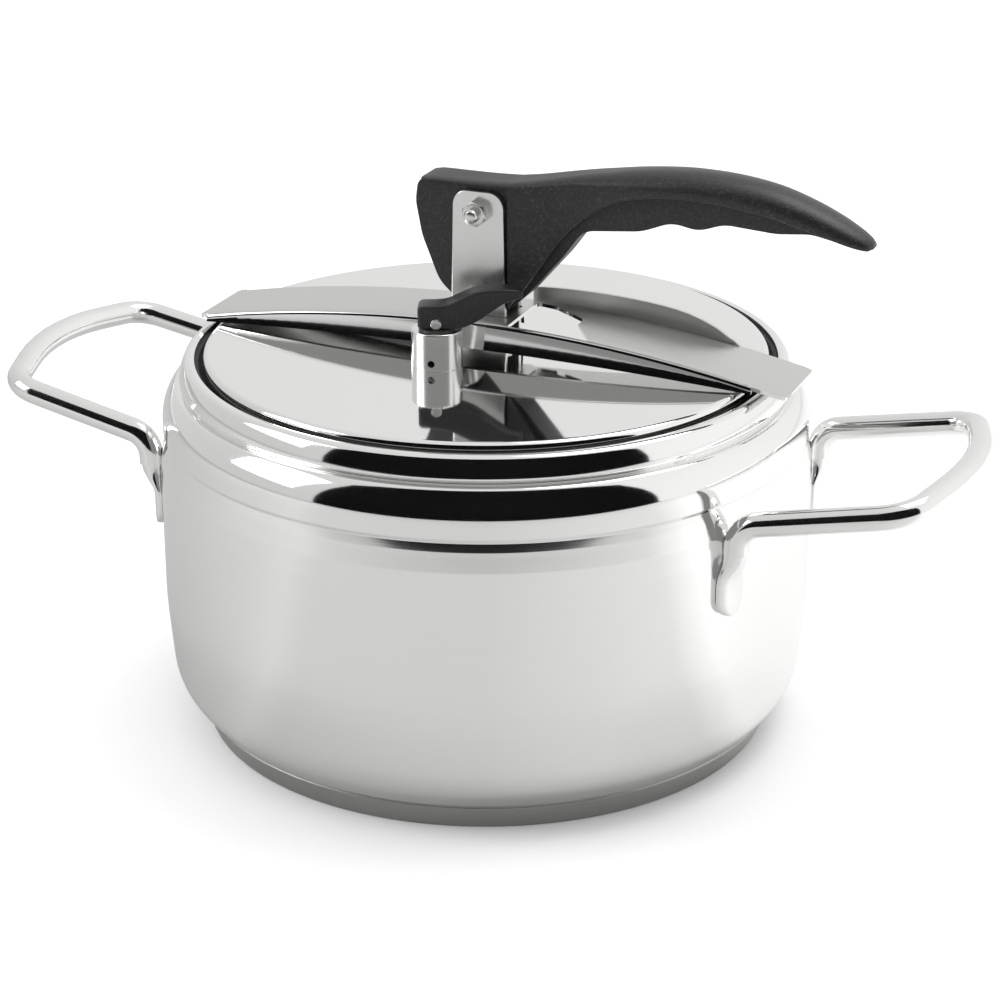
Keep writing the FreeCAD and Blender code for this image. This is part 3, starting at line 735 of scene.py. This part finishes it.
valve = dict(x=-7.2, y=-27.0, radius=8.8, top=150.8, bore=5.5, seat=138.6, stud=5.0, studLow=124.5,
             steam=2.0,
             ventRadius=1.25, ventZ=140.4, pinZ=153.3, leverTurn=20.0)
valveRun = [(valve["bore"], valve["top"], 0.3), (valve["bore"], valve["seat"], 0),
            (valve["steam"], valve["seat"], 0),
            (valve["steam"], valve["studLow"], 0), (valve["stud"], valve["studLow"], 0.4),
            (valve["stud"], 137.5, 0),
            (valve["radius"], 137.5, 0.2), (valve["radius"], valve["top"], 0.6)]
valveBody = spinRound("valveBody", guarded(closedRun(valveRun)), 96, closed=True,
                      centre=(valve["x"], valve["y"]))
startFresh()
ventTurn, ventAway = math.radians(10), 8
bpy.ops.mesh.primitive_cylinder_add(vertices=24, radius=valve["ventRadius"] * mm, depth=10 * mm,
                                    rotation=(math.pi / 2, 0, ventTurn),
                                    location=((valve["x"] + ventAway * math.sin(ventTurn)) * mm,
                                              (valve["y"] - ventAway * math.cos(ventTurn)) * mm,
                                              valve["ventZ"] * mm))
cutAway(valveBody, finishPiece("ventCutter", 0))
activate(valveBody)
bpy.ops.object.shade_smooth_by_angle(angle=math.radians(30))
place(valveBody, "lid", "turnedSteel", "satin_steel", "valve_body")

heelRows = [[-6.3, 5.6, -1.0, 4.1], [-5.6, 6.3, -1.5, 4.6], [0.0, 6.6, -1.5, 4.7], [4.0, 7.2, -1.5, 4.7],
            [8.5, 9.4, -1.2, 4.7], [13.5, 11.6, 0.9, 4.6], [19.0, 12.5, 4.6, 4.2], [24.0, 12.5, 7.8, 3.7],
            [28.0, 12.1, 8.9, 3.3], [29.6, 11.4, 9.5, 2.6]]
heel = drawSections("valveLever", [crownSection(x, top, low, half, 1.0, 0.9, 0.5)
                                   for x, top, low, half in smoothBetween(heelRows, 40)], mirrored=True)
activate(heel)
heel.rotation_euler.z = math.radians(valve["leverTurn"])
heel.location = (valve["x"] * mm, valve["y"] * mm, valve["pinZ"] * mm)
bpy.ops.object.transform_apply()
place(heel, "thumb", "smallLeverResin", "black_plastic", "valve_lever")
pinEnd = spinRound("valvePin", rounded([(0, -5.0, 0), (1.9, -5.0, 0.4), (1.9, 5.0, 0.4), (0, 5.0, 0)],
                                       15), 32)
activate(pinEnd)
pinEnd.rotation_euler = (math.pi / 2, 0, math.radians(valve["leverTurn"]))
pinEnd.location = (valve["x"] * mm, valve["y"] * mm, valve["pinZ"] * mm)
bpy.ops.object.transform_apply()
place(pinEnd, "stem", "platedSteel", "zinc_steel", "valve_pin")
print("lid, bracket, pivot and valve")


lever = dict(pivotZ=187.5, coreHalf=5.2)
coreRun = [(-24.3, 1.0, 12), (-23.2, 9.9, 4.5), (0.0, 10.1, 60), (38.0, 13.5, 120), (76.0, 18.5, 70),
           (104.0, 16.0, 60),
           (126.0, 8.6, 25), (134.0, 3.4, 2), (130.0, 2.2, 3), (118.0, 4.6, 15), (106.0, 3.4, 20),
           (88.0, 4.6, 14),
           (79.0, 1.4, 12), (69.5, 3.2, 12), (59.0, -1.0, 20), (38.0, -3.2, 8), (30.5, -13.5, 30),
           (17.0, -29.0, 14),
           (8.5, -36.7, 4), (-4.5, -36.7, 5), (-15.5, -27.0, 14), (-22.0, -11.0, 20)]
core = plate("leverCore", closedRun(coreRun, 6), -lever["coreHalf"], lever["coreHalf"])
modify(core, "BEVEL", width=1.0 * mm, segments=3, limit_method="ANGLE", angle_limit=math.radians(50))
lipRows = [[-21.5, 10.0, 9.6, 6.8, 2.4, 0.2], [-19.0, 10.5, 9.6, 7.8, 3.0, 0.7],
           [-8.0, 10.6, 9.6, 8.0, 3.6, 0.9],
           [2.0, 10.7, 9.6, 8.0, 3.6, 1.0], [11.3, 11.1, 9.6, 8.0, 3.6, 1.2]]
lip = drawSections("leverLip", [crownSection(x, top, low, half, across, down, 0.05)
                                for x, top, low, half, across, down in smoothBetween(lipRows, 14)],
                   mirrored=True)
capRows = [
    [11.2, 11.1, -33.5, 8.0, 3.6, 1.2, 0.6], [18.0, 12.2, -25.0, 8.0, 3.8, 1.5, 0.8],
    [24.0, 13.4, -16.2, 8.0, 4.2, 1.8, 0.8], [31.0, 14.9, -6.4, 8.1, 4.8, 2.4, 0.8],
    [40.0, 16.7, 2.6, 8.5, 6.0, 3.4, 0.8], [48.0, 18.1, 7.6, 9.1, 7.4, 4.4, 0.8],
    [56.0, 19.4, 10.6, 9.6, 8.6, 5.2, 0.7], [66.0, 20.5, 12.2, 10.0, 9.4, 5.6, 0.7],
    [76.0, 21.0, 12.8, 10.1, 9.6, 5.8, 0.7], [90.0, 20.5, 12.0, 10.0, 9.6, 5.9, 0.7],
    [104.0, 18.4, 9.8, 9.6, 9.2, 5.9, 0.7], [116.0, 14.7, 6.8, 9.0, 8.6, 5.6, 0.7],
    [126.0, 10.4, 3.8, 8.0, 7.6, 4.9, 0.6], [133.0, 6.6, 1.6, 6.4, 6.0, 3.8, 0.5],
    [137.0, 4.0, 0.6, 4.2, 3.9, 2.6, 0.4], [138.3, 2.6, 1.0, 2.2, 2.0, 1.2, 0.2]]
cap = drawSections("leverCap", [crownSection(*row) for row in smoothBetween(capRows, 90)], mirrored=True,
                   smooth=40)
leverPiece = joinPieces([cap, lip, core], "camLever")
leverPiece.location.z = lever["pivotZ"] * mm
activate(leverPiece)
bpy.ops.object.transform_apply()
place(leverPiece, "lever", "blackResin", "black_plastic", "lever")
print("lever")


nodeFinish = dict(
    base_core="coreMetal", lid_gasket="blackRubber", backing_plate="bracketSheet",
    bracket_rivets="platedSteel",
    cam_shoe="platedSteel", pivot_bush="platedSteel", valve_washer="blackRubber", valve_nut="platedSteel",
    valve_strainer="platedSteel", valve_guide="guideResin", valve_seal="blackRubber",
    valve_stem="platedSteel",
    valve_spring="platedSteel", safety_shell="platedSteel", safety_stopper="blackRubber",
    safety_nut="platedSteel")
for name, finish in nodeFinish.items():
    dress(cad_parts[name], finish)
print("kept nodes dressed:", len(nodeFinish))


view = dict(turn=22.3, lift=22.09, distance=1.0, lens=99.76, targetZ=0.07787, aside=0.00483)
stage = dict(floor=8.0, floorTone=0.93, sky=1.06, clothFar=2.0, clothHigh=4.4, clothWide=6.6, apronNear=1.7,
             secondGlow=0.25)
# (angle around the pot in degrees, grey): painted light and shade that the floor shows only in reflections,
# lighter where the side lights fall on it and darker elsewhere
paintedFloorBounce = [(-180, 0.46), (-125, 0.40), (-104, 0.42), (-74, 0.47), (-60, 0.52), (-50, 0.47), (0, 0.48),
               (52, 0.60),
               (66, 0.84), (112, 0.82), (140, 0.72)]
turn, lift = math.radians(view["turn"]), math.radians(view["lift"])
towards = Vector((math.sin(turn), -math.cos(turn), 0))


def ramp(tree, source, stops):
    # stops: (position 0 to 1, grey)
    node = addNode(tree, "ShaderNodeValToRGB", [("Fac", source)])
    for i, (position, grey) in enumerate(stops):
        stop = node.color_ramp.elements[i] if i < 2 else node.color_ramp.elements.new(position)
        stop.position = position
        stop.color = (grey, grey, grey, 1)
    return node


startFresh()
bpy.ops.mesh.primitive_plane_add(size=stage["floor"])
floor = bpy.context.object
floor.name = "floor"
floorMaterial, floorTree, floorShader = newMaterial("paleFloor", (stage["floorTone"],) * 3, 0.0, 0.8,
                                                    specular=0.1)
floorPlace = addNode(floorTree, "ShaderNodeTexCoord")
floorTurn = addNode(floorTree, "ShaderNodeMapping", [("Vector", floorPlace.outputs["Object"])])
floorTurn.inputs["Rotation"].default_value = (0, 0, math.pi / 2 - turn)
around = addNode(floorTree, "ShaderNodeTexGradient", [("Vector", floorTurn.outputs["Vector"])],
                 gradient_type="RADIAL")
# painted reflection: glossy rays see the floor in these painted greys of light and shade, while the camera
# sees it evenly pale
paintedBounce = ramp(floorTree, around.outputs["Fac"], [(0.5 + angle / 360, grey) for angle, grey in paintedFloorBounce])
rays = addNode(floorTree, "ShaderNodeLightPath")
seen = addNode(floorTree, "ShaderNodeMix", [("Factor", rays.outputs["Is Glossy Ray"])], data_type="RGBA")
seen.inputs[6].default_value = (*(stage["floorTone"],) * 3, 1)
floorTree.links.new(paintedBounce.outputs["Color"], seen.inputs[7])
floorTree.links.new(seen.outputs[2], floorShader.inputs["Base Color"])
floor.data.materials.append(floorMaterial)


def darkCloth(name, place, size, lean):
    # a black cloth that only shows in the polished metal
    startFresh()
    bpy.ops.mesh.primitive_plane_add(size=1, location=place, rotation=(lean, 0, turn))
    cloth = bpy.context.object
    cloth.name = name
    cloth.scale = (*size, 1)
    cloth.data.materials.append(clothMaterial)
    cloth.visible_camera = False
    cloth.visible_diffuse = False
    cloth.visible_shadow = False


clothMaterial, clothTree, clothShader = newMaterial("darkCloth", (0.003, 0.003, 0.003), 0.0, 0.9,
                                                    specular=0.0)
clothRays = addNode(clothTree, "ShaderNodeLightPath")
secondHand = addNode(clothTree, "ShaderNodeMath", [(0, clothRays.outputs["Ray Depth"])],
                     operation="GREATER_THAN")
secondHand.inputs[1].default_value = 1.5
glow = addNode(clothTree, "ShaderNodeMath", [(0, secondHand.outputs["Value"])], operation="MULTIPLY")
glow.inputs[1].default_value = stage["secondGlow"]
clothTree.links.new(glow.outputs["Value"], clothShader.inputs["Emission Strength"])
clothShader.inputs["Emission Color"].default_value = (1, 1, 1, 1)
darkCloth("darkFront", towards * stage["clothFar"] + Vector((0, 0, stage["clothHigh"] / 2)),
          (stage["clothWide"], stage["clothHigh"]), math.pi / 2)
darkCloth("darkApron", towards * (stage["clothFar"] + stage["apronNear"]) / 2 + Vector((0, 0, 0.001)),
          (stage["clothWide"], stage["clothFar"] - stage["apronNear"]), 0)

world = bpy.data.worlds.new("studio")
bpy.context.scene.world = world
world.use_nodes = True
sky = world.node_tree
skyShader = sky.nodes["Background"]
skyRays = addNode(sky, "ShaderNodeLightPath")
skyPlace = addNode(sky, "ShaderNodeTexCoord")
skyTurn = addNode(sky, "ShaderNodeMapping", [("Vector", skyPlace.outputs["Generated"])])
skyTurn.inputs["Rotation"].default_value = (0, 0, -turn)
skySplit = addNode(sky, "ShaderNodeSeparateXYZ", [("Vector", skyTurn.outputs["Vector"])])
skySide = addNode(sky, "ShaderNodeMapRange", [("Value", skySplit.outputs["X"])])
skySide.inputs["From Min"].default_value = -1.0
skySide.inputs["To Min"].default_value = 0.62
skySide.inputs["To Max"].default_value = 0.98
skyTone = addNode(sky, "ShaderNodeMix", [("Factor", skyRays.outputs["Is Glossy Ray"])])
skyTone.inputs[2].default_value = stage["sky"]
sky.links.new(skySide.outputs["Result"], skyTone.inputs[3])
sky.links.new(skyTone.outputs[0], skyShader.inputs["Strength"])
skyShader.inputs["Color"].default_value = (1, 1, 1, 1)


def softLight(name, place, size, power):
    light = bpy.data.lights.new(name, "AREA")
    light.size = size
    light.energy = power
    lamp = bpy.data.objects.new(name, light)
    bpy.context.scene.collection.objects.link(lamp)
    lamp.location = place
    lamp.rotation_euler = (Vector((0, 0, 0.1)) - Vector(place)).to_track_quat("-Z", "Y").to_euler()
    return lamp


softLight("topLight", (0.5, 0.5, 1.6), 0.9, 9.0)
softLight("sideLight", (-1.2, -0.7, 0.9), 0.8, 7.0)

camera = bpy.data.objects.new("camera", bpy.data.cameras.new("camera"))
bpy.context.scene.collection.objects.link(camera)
back = Vector((math.sin(turn) * math.cos(lift), -math.cos(turn) * math.cos(lift), math.sin(lift)))
target = Vector((math.cos(turn), math.sin(turn), 0)) * view["aside"] + Vector((0, 0, view["targetZ"]))
camera.location = target + back * view["distance"]
camera.rotation_euler = (-back).to_track_quat("-Z", "Y").to_euler()
camera.data.lens = view["lens"]
camera.data.clip_start = 0.01
camera.data.clip_end = 30
bpy.context.scene.camera = camera
bpy.context.scene.view_settings.view_transform = "Standard"
print("stage, light and camera")
